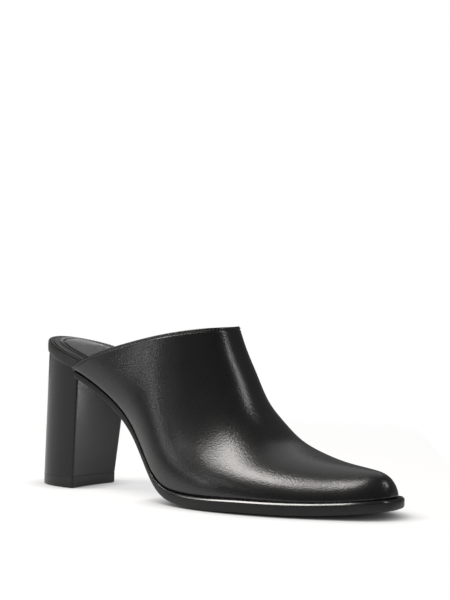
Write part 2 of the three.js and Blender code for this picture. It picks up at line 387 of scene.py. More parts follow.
# %% Materials
calf = leather("black_calf", (0.004, 0.004, 0.0042), (0.006, 0.006, 0.0062), (0.4, 0.5),
               0.85, 0.055, wave=0.06, Specular_IOR_Level=0.12, Coat_Weight=1.0, Coat_Roughness=0.22)
lining_calf = leather("lining_leather", (0.014, 0.014, 0.014), (0.022, 0.022, 0.022),
                      (0.5, 0.6), 0.7, 0.03)
sock_calf = leather("insole_leather", (0.018, 0.018, 0.0185), (0.026, 0.026, 0.0265), (0.42, 0.5),
                    0.6, 0.02, Specular_IOR_Level=0.35)
pad_calf = leather("pad_leather", (0.022, 0.022, 0.023), (0.03, 0.03, 0.031), (0.24, 0.3),
                   0.8, 0.02, wave=0.05)
welt_calf = leather("glazed_welt", (0.004, 0.004, 0.004), (0.006, 0.006, 0.006), (0.16, 0.22),
                    0.9, 0.006, wave=0.05, Specular_IOR_Level=1.0)
# A dull dye for cut edges, made dark enough to be painted shade in the grooves too.
dye_and_painted_shade = leather("dye_and_painted_shade", (0.003, 0.003, 0.003), (0.004, 0.004, 0.004), (0.6, 0.7),
                    0.9, 0.006, wave=0.05, Specular_IOR_Level=0.1)
edge_paint = leather("sole_edge_paint", (0.008, 0.008, 0.008), (0.012, 0.012, 0.012),
                     (0.36, 0.46), 0.8, 0.012, wave=0.05, Specular_IOR_Level=0.35)
sole_rubber = leather("sole_rubber", (0.014, 0.014, 0.014), (0.02, 0.02, 0.02), (0.55, 0.7),
                      1.1, 0.05)
lift_rubber = leather("lift_rubber", (0.006, 0.006, 0.006), (0.009, 0.009, 0.009), (0.3, 0.36),
                      1.0, 0.02, Specular_IOR_Level=0.35)
thread, thread_tree, thread_shader = new_material("waxed_thread", (0.03, 0.03, 0.03), 0.28)
thread_place = add(thread_tree, "ShaderNodeTexCoord").outputs["Object"]
thread_twist = add(thread_tree, "ShaderNodeTexWave", Scale=1400.0, Distortion=2.0)
thread_tree.links.new(thread_place, thread_twist.inputs["Vector"])
thread_tree.links.new(bump(thread_tree, thread_twist.outputs["Fac"], 0.05 * MM),
                      thread_shader.inputs["Normal"])
print("materials:", [m.name for m in bpy.data.materials])

# %% [markdown]
# The heel is built up of leather layers about 3.4 mm thick, then stained and burnished black.
# The joints hardly show, so separate layers would be wasted: a shallow dip in the bump, repeated
# up the heel by a wave texture along z, is enough. Flat streaks of noise vary stain and gloss.

# %% Heel finish
LAYER = 3.4
JOINT_DIP, STREAK_HEIGHT = 0.005, 0.004
stack_stain, heel_tree, heel_shader = new_material("stacked_heel", (0.006, 0.006, 0.006), 0.25,
                                                   Specular_IOR_Level=0.28)
heel_spot = add(heel_tree, "ShaderNodeTexCoord").outputs["Object"]
layers = add(heel_tree, "ShaderNodeTexWave", bands_direction="Z", wave_profile="SIN")
layers.inputs["Scale"].default_value = 2 * math.pi / (20 * LAYER * MM)
layers.inputs["Distortion"].default_value = 0.35
layers.inputs["Detail Scale"].default_value = 0.6
heel_tree.links.new(heel_spot, layers.inputs["Vector"])
joint_line = spread(heel_tree, layers.outputs["Fac"], 0, 1, 0.9, 1.0)
flattened = add(heel_tree, "ShaderNodeMapping")
flattened.inputs["Scale"].default_value = (1, 1, 9)
heel_tree.links.new(heel_spot, flattened.inputs["Vector"])
streaks = noise(heel_tree, flattened.outputs["Vector"], 260)
stain = shade(heel_tree, spread(heel_tree, streaks, 0, 1), (0.006, 0.006, 0.0062),
              (0.010, 0.010, 0.0102))
heel_tree.links.new(stain, heel_shader.inputs["Base Color"])
heel_tree.links.new(spread(heel_tree, streaks, 0.22, 0.27), heel_shader.inputs["Roughness"])
dip = bump(heel_tree, joint_line, -JOINT_DIP * MM)
dip = bump(heel_tree, streaks, STREAK_HEIGHT * MM, below=dip)
heel_tree.links.new(dip, heel_shader.inputs["Normal"])
print("heel layers are", LAYER, "mm thick and their joints", JOINT_DIP, "mm deep")

# %% [markdown]
# ## The upper's surface
# The upper is one skin pulled over the last. Each rib is a curve from the outer feather line
# over the crown to the inner one: a sine for the rise, a cosine for the spread, and a forward
# lean that grows toward the crown. The topline is simply the first rib.

# %% Upper surface
def outer_face(q, turn):
    """q runs from topline to toe, turn from -1 (outer side) over the crown to 1 (inner side)."""
    q, turn = np.broadcast_arrays(np.asarray(q, float), np.asarray(turn, float))
    s = toward_toe(COLLAR_FOOT)(q)
    side = np.where(turn < 0, -1.0, 1.0)
    angle = (1 - np.abs(turn)) * np.pi / 2
    rise, spread_out = np.sin(angle), np.clip(np.cos(angle), 0, 1)
    x = s + (rib["crown"](s) - s) * (1 - spread_out ** rib["along"](s))
    foot = sole_top(s, side * half_width(s, side))
    lifted = (rib["top"](s) - foot) * round_off(LENGTH - s, TOE_TOP)
    swell = rib["bulge"](x) * np.sin(2 * angle) * round_off(LENGTH - x, TOE_END)
    wide = half_width(x, side) + swell
    ridge = rib["ridge"](s) * rise**2 * round_off(LENGTH - s, TOE_TOP)
    y = side * wide * spread_out ** rib["across"](s) + ridge
    z = foot + SEAM + lifted * rise ** rib["up"](s)
    return np.stack([x, y, z], -1)


def outer_normal(q, turn):
    step = 2e-3
    near, clear = np.clip(q, step, 1 - 3 * step), np.clip(turn, -1 + step, 1 - step)
    along = outer_face(near + step, clear) - outer_face(near - step, clear)
    across = outer_face(near, clear + step) - outer_face(near, clear - step)
    return unit(np.cross(along, across))


def even_turns(count):
    """Turns that are evenly spaced along the ribs, taken over four ribs."""
    fine = np.sin(np.linspace(-1, 1, 2001) * np.pi / 2)
    fine = np.sign(fine) * np.abs(fine) ** 1.5
    share = np.zeros(len(fine))
    for q in (0.0, 0.15, 0.35, 0.6):
        steps = np.linalg.norm(np.diff(outer_face(q, fine), axis=0), axis=1)
        share[1:] += np.cumsum(steps) / steps.sum() / 4
    turns = np.interp(np.linspace(0, 1, count), share, fine)
    turns[0], turns[-1] = -1, 1
    return turns


def from_topline(turns, distances):
    """q at the given distances in mm below the topline, for each turn."""
    fine = np.linspace(0, 0.5, 600)
    found = np.empty((len(distances), len(turns)))
    for j, turn in enumerate(turns):
        walked = np.linalg.norm(np.diff(outer_face(fine, turn), axis=0), axis=1)
        found[:, j] = np.interp(distances, np.concatenate([[0], np.cumsum(walked)]), fine)
    return found


print("crown of the topline, mm:", outer_face(0.0, 0.0).round(1).tolist())


# %% [markdown]
# ## The upper's leather
# The outer leather is 1.3 mm thick. Along the topline it is skived, folded over a tape and
# stitched, which leaves a soft roll at the edge and a shallow valley under the stitches. The
# rows of the grid are laid by their distance below the topline, so the roll and the valley
# follow it exactly. The skin goes round the edge in a half circle and back down inside. Just
# above the sole it tucks in a little, as leather does that is pulled in under the insole.

# %% Rows and depths of a skin
LEATHER = 1.3
FOLD = LEATHER / 2
STITCH_LINE, VALLEY_DEPTH, VALLEY_WIDTH = 1.3, 0.24, 0.42
SLIT = 0.06
TUCK, TUCK_RISE = 0.9, 2.8
PAST_RELIEF = 99.0
topline_rows = np.concatenate([np.arange(FOLD, 5, 0.22), [5.6, 6.5]])


def skin(turns, rows_below, rows_down, start):
    """Rows at the given distances below the topline, then even rows down to the sole."""
    top_q = from_topline(turns, start + rows_below)
    last_q = top_q[-1]
    steps = np.linspace(0, 1, rows_down)[1:, None]
    q = np.concatenate([top_q, last_q + (1 - last_q) * steps])
    turn = np.broadcast_to(turns, q.shape)
    return q, outer_face(q, turn), outer_normal(q, turn)


def settle(points, normals, depth):
    """The face at a depth, with its lower borders standing on the sole."""
    normals = normals.copy()
    for border in (0, -1):
        normals[:, border, 2] = 0
    normals[-1] = (1, 0, 0)
    moved = points - unit(normals) * depth
    for border in (0, -1):
        x, y = moved[:, border, 0], moved[:, border, 1]
        moved[:, border, 2] = sole_top(x, y) + SLIT
    moved[-1, :, 2] = sole_top(moved[-1, :, 0], moved[-1, :, 1]) + SLIT
    return moved


# %% Skins of the upper
def shell(name, turns, rows, start, depths, relief, material, tuck_in=0.0):
    """A closed skin between two depths, with a rounded upper edge."""
    rows_below, rows_down = rows
    outside, inside = depths
    q, face, normals = skin(turns, rows_below, rows_down, start)
    below = np.concatenate([rows_below, np.full(len(q) - len(rows_below), PAST_RELIEF)])
    above = face[..., 2:] - sole_top(face[..., 0], face[..., 1])[..., None]
    tuck = tuck_in * np.clip(1 - above / TUCK_RISE, 0, 1) ** 2
    outer = settle(face, normals, outside - relief(below)[:, None, None] + tuck)
    inner = settle(face, normals, inside)
    half = (inside - outside) / 2
    away = unit(outer[0] - outer[2])
    middle = (outer[0] + inner[0]) / 2
    arc = np.linspace(0, np.pi, 9)[1:-1, None, None]
    reach = (outer[0] - inner[0]) / 2
    edge = middle + np.cos(arc) * reach + np.sin(arc) * half * away
    points = np.concatenate([outer[::-1], edge, inner])
    height, columns = points.shape[:2]
    faces = grid_faces(height, columns)
    for i in range(height // 2):
        mirror = height - 1 - i
        for j in (0, columns - 1):
            corner = [i * columns + j, (i + 1) * columns + j]
            corner += [(mirror - 1) * columns + j, mirror * columns + j]
            if len(set(corner)) == 4:
                faces.append(corner)
    return make_mesh(name, points.reshape(-1, 3), faces, material)


def stitch_valley(below):
    return -VALLEY_DEPTH * np.exp(-((below - STITCH_LINE) / VALLEY_WIDTH) ** 2)


# %% Upper leather
UPPER_ROWS = 150
turns = even_turns(201)
halved = [turns[:4] + np.diff(turns[:5]) / 2, turns[-5:-1] + np.diff(turns[-5:]) / 2]
turns = np.sort(np.concatenate([turns, *halved]))
upper = shell("upper_leather", turns, (topline_rows - FOLD, UPPER_ROWS), FOLD, (0.0, LEATHER),
              stitch_valley, calf, tuck_in=TUCK)
finish_piece(upper, "upper_leather", "upper")

# %% [markdown]
# ## The lining
# Inside the leather is a thin soft lining that ends a little below the rolled edge. It could be
# a second colour on the inside of the upper. Here it is a skin of its own, about 0.7 mm thick, so
# the opening shows two layers, as a real shoe does.

# %% Lining
LINING_TOP, LINING_GAP, LINING_ROWS = 1.1, 0.04, 90
lining_rows = np.array([0, 0.4, 0.8, 1.4, 2.2, 3.4, 5.0])
lining = shell("upper_lining", even_turns(121), (lining_rows, LINING_ROWS), LINING_TOP,
               (LEATHER + LINING_GAP, WALL), np.zeros_like, lining_calf)
finish_piece(lining, "insole_leather", "upper")

# %% [markdown]
# ## Stitches
# A stitch is a short bar of waxed thread that dives into the leather at both ends. It is made as
# a small spindle, laid along a path at an even pitch and turned slightly from it, as lock
# stitches always are. All the stitches of one seam are joined into one piece.

# %% Stitch helper
def walk(path, normals, pitch):
    """Points, directions and normals at an even pitch along a path."""
    walked = np.concatenate([[0], np.cumsum(np.linalg.norm(np.diff(path, axis=0), axis=1))])
    count = int(walked[-1] // pitch)
    marks = (np.arange(count) + 0.5) * walked[-1] / count

    def at(places, values):
        return np.stack([np.interp(places, walked, values[:, k]) for k in range(3)], -1)

    ahead = unit(at(marks + 0.2, path) - at(marks - 0.2, path))
    return at(marks, path), ahead, unit(at(marks, normals))


STITCH_SINK, STITCH_DIVE, STITCH_TAPER = 0.3, 0.55, 3.5


def stitches(name, path, normals, pitch, length, thick, slant=0.14):
    """All stitches of a seam: pitch, length and thickness in mm, and how far each one slants."""
    sides, rings = 7, np.linspace(-1, 1, 8)
    middle, ahead, out = walk(path, normals, pitch)
    side = unit(np.cross(out, ahead))
    ahead = unit(ahead + slant * side)
    side = unit(np.cross(out, ahead))
    points, faces = [], []
    angles = np.linspace(0, 2 * np.pi, sides, endpoint=False)
    for m, a, o, b in zip(middle, ahead, out, side):
        first = len(points)
        for r in rings:
            girth = thick / 2 * math.sqrt(max(1 - abs(r) ** STITCH_TAPER, 0.04))
            raised = thick * (STITCH_SINK - STITCH_DIVE * r * r)
            centre = m + a * r * length / 2 + o * raised
            points += [centre + girth * (math.cos(t) * b + math.sin(t) * o) for t in angles]
        faces += grid_faces(len(rings), sides, loop_columns=True, first=first)
        faces += [tuple(range(first, first + sides))]
        end = first + (len(rings) - 1) * sides
        faces += [tuple(range(end, end + sides))]
    made = make_mesh(name, points, faces, thread)
    print(name, "holds", len(middle), "stitches")
    return made


# %% Topline stitches
SEAM_DEPTH, SEAM_ENDS = 0.1, 0.985
seam_turns = np.concatenate([turns[:-1] + np.diff(turns) * k for k in (0, 0.5)])
seam_turns = np.sort(seam_turns[np.abs(seam_turns) < SEAM_ENDS])
seam_q = from_topline(seam_turns, np.array([STITCH_LINE]))[0]
seam_out = outer_normal(seam_q, seam_turns)
seam_path = outer_face(seam_q, seam_turns) - SEAM_DEPTH * seam_out
topline_seam = stitches("topline_stitches", seam_path, seam_out,
                        pitch=2.1, length=1.35, thick=0.52)
finish_piece(topline_seam, "upper_leather", "upper")

# %% [markdown]
# ## The insole
# The insole is a thin board wrapped in leather, and in the seat its edge shows as a band about
# 6 mm high. On top it goes up in steps: the rim of the wrap, a stitched strip, and the sock
# leather half a millimetre over the board. The section is two lists of points, each an inset and
# a height. The band is measured from the foot and the steps from the board's top, and both are
# swept round the whole plan. That is easier to shape than a block with bevelled edges. The steep
# little faces between the steps are cut edges with a dull dye, made dark enough that it also
# paints the shade in the grooves between the steps.

# %% Insole section
INSOLE_AT_TOE, TOE_CLEARANCE = 3.0, 1.0
INSOLE_GAP = SLIT + 0.04


def insole_inset(s):
    return -(WALL + 0.3 + TOE_CLEARANCE * smooth(s, 60, 190))


def insole_thickness(x):
    return RIM + (INSOLE_AT_TOE - RIM) * smooth(x, 66, 126)


def insole_foot(x, y):
    return sole_top(x, y) + INSOLE_GAP


print("insole, mm thick at the seat and the toe:", insole_thickness(0.0), insole_thickness(LENGTH))

# %% Steps of the insole's edge
SEAT_LIFT = 0.5
band_profile = [(0.7, 0.0), (0.25, 0.1), (0.0, 0.45), (-0.08, 1.6)]
top_profile = [(-0.1, -2.6), (-0.02, -1.0), (0.04, -0.62), (0.16, -0.46), (0.35, -0.4), (1.0, -0.4)]
top_profile += [(1.2, -0.5), (1.28, -0.62), (1.34, -0.6), (1.38, -0.1), (1.44, 0.08), (1.58, 0.14)]
top_profile += [(2.0, 0.12), (2.4, 0.02), (2.8, 0.12), (3.1, 0.12), (3.3, -0.06), (3.38, -0.05)]
top_profile += [(3.42, 0.3), (3.48, 0.44), (3.62, SEAT_LIFT), (4.2, SEAT_LIFT), (6.4, SEAT_LIFT)]


def insole_edge(q, side, inset, level, from_foot=False):
    """A point of the insole's edge, at a height over its top, or over its foot."""
    s = both_ends(q)
    shrink = 1 - 0.55 * smooth(s, 70, 150)
    x, y = plan(both_ends, q, side, insole_inset(s) - inset * shrink)
    height = np.clip(level + (0 if from_foot else insole_thickness(x)), 0, None)
    return np.stack([x, y, insole_foot(x, y) + height], -1)


# %% Insole
stations = np.linspace(0, 1, 181)
rims = []
for side in (-1, 1):
    columns = [insole_edge(stations, side, *row, from_foot=True) for row in band_profile]
    columns += [insole_edge(stations, side, *row) for row in top_profile]
    rims.append(np.stack(columns, 1))
across = np.linspace(0, 1, 14)[1:-1, None]
top = [a + (b - a) * across for a, b in zip(rims[0][:, -1], rims[1][:, -1])]
for line in top:
    line[:, 2] = insole_foot(line[:, 0], line[:, 1]) + insole_thickness(line[:, 0]) + SEAT_LIFT
bottom = [b + (a - b) * across for a, b in zip(rims[0][:, 0], rims[1][:, 0])]
for line in bottom:
    line[:, 2] = insole_foot(line[:, 0], line[:, 1])
section = np.concatenate([rims[0], np.array(top), rims[1][:, ::-1], np.array(bottom)], 1)
faces = grid_faces(*section.shape[:2], loop_columns=True)
insole = make_mesh("insole", section.reshape(-1, 3), faces, sock_calf)
# Painted shade: the steep walls between the insole's steps are darkened as well as dyed.
DYE_AND_SHADE_DEPTH = 0.65
dye_and_shade_edges(insole, dye_and_painted_shade, lambda x, y: sole_top(x, y) + insole_thickness(x) + SLIT - DYE_AND_SHADE_DEPTH)
finish_piece(insole, "insole_leather", "insole")

# %% Insole stitches
RIM_SEAM_INSET, RIM_SEAM_LEVEL = 2.4, 0.1
SEAT_UP = (0.25, 0.0, 0.97)
seat = np.linspace(0, 0.4, 240)
round_seat = [(v, -1) for v in seat[::-1]] + [(v, 1) for v in seat[1:]]
rim_line = np.array([insole_edge(q, side, RIM_SEAM_INSET, RIM_SEAM_LEVEL)
                     for q, side in round_seat])
rim_seam = stitches("insole_stitches", rim_line, np.tile(SEAT_UP, (len(rim_line), 1)),
                    pitch=2.0, length=1.4, thick=0.5, slant=0.1)
finish_piece(rim_seam, "insole_leather", "insole")

# %% [markdown]
# ## The heel pad
# Over the seat lies an oval leather pad with a thin layer of foam under it. Its edge is a flat
# flange that is stitched down, and inside the stitches it steps up to the height of the foam. A
# smooth dome could be drawn by hand, but leather over foam bulges as its rim allows: so a cloth
# simulation with pressure swells the top, with flange and step pinned, and the rise is capped.

# %% Heel pad plan
PAD_CENTRE, PAD_LENGTH, PAD_WIDTH, PAD_POWER = 40.0, 31.0, 17.2, 2.3
PAD_GAP, PAD_LOFT, PAD_RISE, PAD_INNER = 0.1, 0.85, 1.1, 0.83


def pad_plan(radius, angle):
    """A point of the pad's plan: radius 1 is its edge."""
    c, s = np.cos(angle), np.sin(angle)
    reach = radius / (np.abs(c) ** PAD_POWER + np.abs(s) ** PAD_POWER) ** (1 / PAD_POWER)
    return PAD_CENTRE + PAD_LENGTH * reach * c, PAD_WIDTH * reach * s


def pad_bed(x, y):
    return sole_top(x, y) + insole_thickness(x) + SLIT + SEAT_LIFT + PAD_GAP


# %% Heel pad
pad_profile = np.array([
    [1.0, 0.0], [1.004, 0.15], [0.996, 0.32], [0.97, 0.34], [0.93, 0.3], [0.9, 0.06],
    [0.89, 0.05], [0.887, 0.35], [0.884, 0.58], [0.876, 0.74], [0.862, 0.82],
    [PAD_INNER, PAD_LOFT],
])
segments = 120
angles = np.linspace(0, 2 * np.pi, segments, endpoint=False)
inner_rings = np.linspace(PAD_INNER, 0, 17)[1:-1]
rings = []
for radius, level in [*pad_profile, *[(r, PAD_LOFT) for r in inner_rings]]:
    x, y = pad_plan(radius, angles)
    rings.append(np.stack([x, y, pad_bed(x, y) + level], -1))
count = len(rings)
x, y = pad_plan(0, np.zeros(1))
points = [*np.concatenate(rings), (x[0], y[0], float(pad_bed(x, y)[0]) + PAD_LOFT)]
faces = grid_faces(count, segments, loop_columns=True)
tip, ring = len(points) - 1, (count - 1) * segments
faces += [(ring + j, ring + (j + 1) % segments, tip) for j in range(segments)]
heel_pad = make_mesh("heel_pad", points, faces, pad_calf)
print("the pad's step is", PAD_LOFT, "mm high")

# %% Foam pressure
FOAM_PRESSURE, CLOTH_STEPS = 40, 20
pin = heel_pad.vertex_groups.new(name="pinned")
firm = (len(pad_profile) - 2) * segments
pin.add(list(range(firm)), 1.0, "REPLACE")
before = np.array([v.co for v in heel_pad.data.vertices])
cloth = heel_pad.modifiers.new("foam_pressure", "CLOTH")
cloth.settings.vertex_group_mass = "pinned"
cloth.settings.quality = 8
cloth.settings.mass = 0.3
cloth.settings.use_pressure = True
cloth.settings.uniform_pressure_force = FOAM_PRESSURE
cloth.settings.effector_weights.gravity = 0
cloth.collision_settings.use_collision = False
for step in range(1, CLOTH_STEPS + 1):
    bpy.context.scene.frame_set(step)
blown = heel_pad.evaluated_get(bpy.context.evaluated_depsgraph_get())
after = np.array([v.co for v in blown.data.vertices])
heel_pad.modifiers.remove(cloth)
bpy.context.scene.frame_set(1)
rise = (after - before)[:, 2] / MM
print("the pad rose by at most", round(float(rise.max()), 2), "mm before its cap")

# %% Heel pad, capped
moved = before.copy()
moved[:, 2] += np.clip(rise, 0, PAD_RISE) * MM
heel_pad.data.vertices.foreach_set("co", moved.ravel())
heel_pad.vertex_groups.clear()
# Painted shade: the pad's steep walls and flange edges are darkened as well as dyed.
dye_and_shade_edges(heel_pad, dye_and_painted_shade, pad_bed)
finish_piece(heel_pad, "insole_leather", "heel_pad")

# %% Heel pad stitches
PAD_SEAM_RADIUS, PAD_SEAM_LEVEL = 0.925, 0.3
x, y = pad_plan(PAD_SEAM_RADIUS, np.linspace(0, 2 * np.pi, 400))
pad_line = np.stack([x, y, pad_bed(x, y) + PAD_SEAM_LEVEL], -1)
pad_seam = stitches("pad_stitches", pad_line, np.tile(SEAT_UP, (len(pad_line), 1)),
                    pitch=2.1, length=1.4, thick=0.45, slant=0.1)
finish_piece(pad_seam, "insole_leather", "heel_pad")

# %% [markdown]
# ## The outsole
# The sole is thin through the waist and thicker at the forefoot, where its edge stands out from
# the upper as a ledge for the welt. The edge is trimmed to a soft bull nose. Both edges, the
# top and the slightly full underside make one closed section, swept from heel breast to toe.

# %% Outsole edge
BELLY, BELLY_FROM, UNDERSIDE = 1.6, 20, -0.75
EDGE_ROUND, TOP_ROUND = 1.3, 0.45


def sole_under(x, y, s):
    return np.maximum(sole_top(x, y) - last["edge"](s), 0)


def sole_edge(q, side, corner, angle):
    """A point of the bull nose: corner 0 is the top edge, 1 the bottom edge."""
    station = toward_toe(BREAST)
    s = station(q)
    radius = EDGE_ROUND if corner else TOP_ROUND
    out = last["ledge"](s) - radius * (1 - math.sin(angle))
    x, y = plan(station, q, side, out)
    if corner:
        z = sole_under(x, y, s) + radius * (1 - math.cos(angle))
    else:
        z = sole_top(x, y) - radius * (1 - math.cos(angle))
    return np.stack([x, y, z], -1)


# %% Outsole
stations = np.linspace(0, 1, 200)
turned = np.linspace(0, np.pi / 2, 7)
sides = []
for side in (-1, 1):
    nose = [sole_edge(stations, side, 0, a) for a in turned]
    nose += [sole_edge(stations, side, 1, a) for a in turned[::-1]]
    sides.append(np.stack(nose, 1))
spread_over = np.linspace(0, 1, 26)[1:-1, None]
s = toward_toe(BREAST)(stations)[:, None]
lid = sides[0][:, :1] + (sides[1][:, :1] - sides[0][:, :1]) * spread_over[None]
lid[..., 2] = sole_top(lid[..., 0], lid[..., 1])
floor_side = sides[1][:, -1:] + (sides[0][:, -1:] - sides[1][:, -1:]) * spread_over[None]
fullness = 1 - (2 * spread_over.ravel() - 1) ** 2
belly = BELLY * fullness * np.minimum(1, half_width(s, -1) / BELLY_FROM)
flat = sole_under(floor_side[..., 0], floor_side[..., 1], s)
floor_side[..., 2] = np.maximum(flat - belly, 0)
section = np.concatenate([sides[0][:, ::-1], lid, sides[1], floor_side], 1)
rows, columns = section.shape[:2]
faces = grid_faces(rows, columns, loop_columns=True) + [tuple(range(columns))]
outsole = make_mesh("outsole", section.reshape(-1, 3), faces, edge_paint)
outsole.data.materials.append(sole_rubber)
for face in outsole.data.polygons:
    face.material_index = int(face.normal.z < UNDERSIDE)
finish_piece(outsole, "sole_edge", "outsole")

# %% [markdown]
# ## The welt
# A narrow strip of glazed leather runs round the forefoot on the ledge of the sole. It is the
# brightest line on the shoe. A flat strip would show light only from above, so it is a bead: a
# low inner part beside the upper, a round crest, and a long slope out to the ledge's edge that
# takes the light from the side. It gets lower and narrower towards both sides of the waist.

# %% Welt section
WELT_INNER, WELT_LOW, WELT_FADE = 0.25, 0.15, (-6, 26)
WELT_SECTION = np.array([
    [0.0, 0.0], [0.0, 0.3], [0.3, 0.3], [0.42, 0.45], [0.5, 0.75], [0.56, 0.95],
    [0.61, 1.0], [0.66, 0.95], [0.82, 0.52], [0.96, 0.12], [0.985, 0.04], [0.97, 0.0],
])


def welt_line(way_round, reach, level):
    """One line of the strip, at a share of its width and of its height."""
    side = np.where(way_round < 0.5, -1.0, 1.0)
    q = 1 - np.abs(2 * way_round - 1)
    station = toward_toe(WELT_START)
    s = station(q)
    fade = smooth(s, WELT_START + WELT_FADE[0], WELT_START + WELT_FADE[1])
    wide = np.maximum(last["ledge"](s) - WELT_INNER, 0.5)
    x, y = plan(station, q, side, WELT_INNER + wide * reach)
    tall = WELT_HEIGHT * (WELT_LOW + (1 - WELT_LOW) * fade)
    return np.stack([x, y, sole_top(x, y) + tall * level], -1)


# %% Welt
bead = [welt_line(np.linspace(0, 1, 481), reach, level) for reach, level in WELT_SECTION]
section = np.stack(bead, 1)
rows, columns = section.shape[:2]
faces = grid_faces(rows, columns, loop_columns=True)
faces += [tuple(range(columns)), tuple((rows - 1) * columns + k for k in range(columns))]
welt = make_mesh("welt", section.reshape(-1, 3), faces, welt_calf)
finish_piece(welt, "welt_gloss", "welt")

# %% [markdown]
# ## The heel
# The heel is a D in plan: a full round back and a breast that is slightly hollow from side to
# side. Its outline is drawn once as a function, for the foot and for the seat, and the walls
# run straight between them. Small rounded corners catch the light as on a sanded heel.

# %% Heel outline
HEEL_FOOT = dict(back=HEEL_FOOT_BACK, breast=31.0, half=19.8, middle=HEEL_MIDDLE, power=2.35)
HEEL_SEAT = dict(back=3.6, breast=37.0, half=24.3, middle=0.3, power=2.2)
HOLLOW, CORNER = 1.2, 0.7


def heel_outline(plan_size, inset=0.0):
    """The heel's outline, anticlockwise from the middle of the breast."""
    back, breast = plan_size["back"] + inset, plan_size["breast"] - inset
    half, power = plan_size["half"] - inset, plan_size["power"]
    depth = breast - back
    run = np.linspace(0, 1, 16)[:-1] * (half - CORNER)
    front = [(breast - HOLLOW * (1 - (v / half) ** 2), v) for v in run]
    edge = breast - HOLLOW * (1 - ((half - CORNER) / half) ** 2)
    bends = np.linspace(0, np.pi / 2, 7)
    front += [(edge - CORNER * (1 - math.cos(a)), half - CORNER * (1 - math.sin(a)))
              for a in bends]
    reach = 1 - CORNER / depth
    for q in np.linspace(1, 0, 60)[1:]:
        from_back = depth * reach * (1 - math.cos(q * np.pi / 2))
        front.append((back + from_back, half * float(round_off(from_back, (depth, power)))))
    front = np.array(front)
    mirrored = front[1:-1][::-1] * (1, -1)
    return np.concatenate([front, mirrored]) + (0, plan_size["middle"])


for where, plan_size in (("foot", HEEL_FOOT), ("seat", HEEL_SEAT)):
    print("heel at its", where, "mm:", np.ptp(heel_outline(plan_size), axis=0).round(1).tolist())


# %% Capped tube
CAP_RINGS, FLAT_ANGLE = 7, 40


def capped(name, loops, low_cap, high_cap, material):
    """A tube of loops closed by two caps, each a set of shrinking rings on a given height."""
    sheets = []
    for loop, height_at in ((loops[0], low_cap), (loops[-1], high_cap)):
        centre = loop[:, :2].mean(0)
        cap = []
        for share in np.linspace(0, 1, CAP_RINGS)[:-1]:
            flat = centre + (loop[:, :2] - centre) * share
            cap.append(np.column_stack([flat, height_at(flat[:, 0], flat[:, 1])]))
        sheets.append(cap)
    stack = [*sheets[0], *loops, *sheets[1][::-1]]
    points = np.concatenate(stack)
    return make_mesh(name, points, grid_faces(len(stack), len(loops[0]), loop_columns=True),
                     material, flat_angle=FLAT_ANGLE)


# %% Heel block
FOOT_BEVEL, SEAT_BEVEL, FOOT_LEVEL = 0.08, 0.35, LIFT + 0.04
foot_plan, seat_plan = heel_outline(HEEL_FOOT), heel_outline(HEEL_SEAT)
small_foot, small_seat = heel_outline(HEEL_FOOT, FOOT_BEVEL), heel_outline(HEEL_SEAT, SEAT_BEVEL)
top_z = sole_top(seat_plan[:, 0], seat_plan[:, 1])
loops = [np.column_stack([small_foot, np.full(len(foot_plan), FOOT_LEVEL)])]
for v in np.concatenate([[0.004], np.linspace(0.02, 0.98, 22), [0.996]]):
    xy = foot_plan + (seat_plan - foot_plan) * v
    loops.append(np.column_stack([xy, FOOT_LEVEL + (top_z - FOOT_LEVEL) * v]))
loops.append(np.column_stack([small_seat, sole_top(small_seat[:, 0], small_seat[:, 1])]))
heel = capped("heel_block", loops, lambda x, y: np.full(len(x), FOOT_LEVEL), sole_top,
              stack_stain)
finish_piece(heel, "heel_stack", "heel_block")

# %% [markdown]
# The top lift is the hard rubber slice that meets the ground. It has the heel's own outline,
# with a fine joint above it and a small bevel where it touches the floor.

# %% Top lift
loops = []
for level, inset in ((0.0, 0.5), (0.15, 0.2), (0.5, 0.0), (LIFT - 0.05, 0.0), (LIFT, 0.05)):
    outline = heel_outline(HEEL_FOOT, inset)
    loops.append(np.column_stack([outline, np.full(len(outline), level)]))
top_lift = capped("top_lift", loops, lambda x, y: np.zeros(len(x)),
                  lambda x, y: np.full(len(x), LIFT), lift_rubber)
finish_piece(top_lift, "lift_rubber", "top_lift")

# %% [markdown]
# ## The set
# Product light on black leather is all reflection: the leather is nearly black by itself and
# shows whatever stands around it. The floor is a sheet of white paper with some brightness of
# its own, darkened right beside the shoe by an ambient occlusion node as a painted shade, and
# further out it fades into plain white. A white ball and a wide white sheet around it all are
# seen by the camera only, and the leather doesn't reflect them. The reflections come from the
# lamps, so they can be placed one by one.

# %% Sheets
bpy.context.scene.view_settings.view_transform = "Standard"
PAPER = {"left": -2.0, "right": 0.15, "near": -2.0, "far": 0.8, "level": -0.0002}
FAR = {"left": -3.0, "right": 3.0, "near": -3.0, "far": 3.0, "level": -0.0012}
PAPER_LIFT, SHADE_REACH, PAPER_FADE = 0.7, 0.016, (0.25, 0.55)


def sheet(name, sides):
    """A flat rectangle with its sides square to the camera."""
    x, y = (sides["left"], sides["right"]), (sides["near"], sides["far"])
    mesh = bpy.data.meshes.new(name)
    corners = [(x[0], y[0], 0), (x[1], y[0], 0), (x[1], y[1], 0), (x[0], y[1], 0)]
    mesh.from_pydata(corners, [], [(0, 1, 2, 3)])
    made = bpy.data.objects.new(name, mesh)
    made.location.z = sides["level"]
    made.rotation_euler.z = AZIMUTH
    bpy.context.scene.collection.objects.link(made)
    print(name, "in m:", sides)
    return made


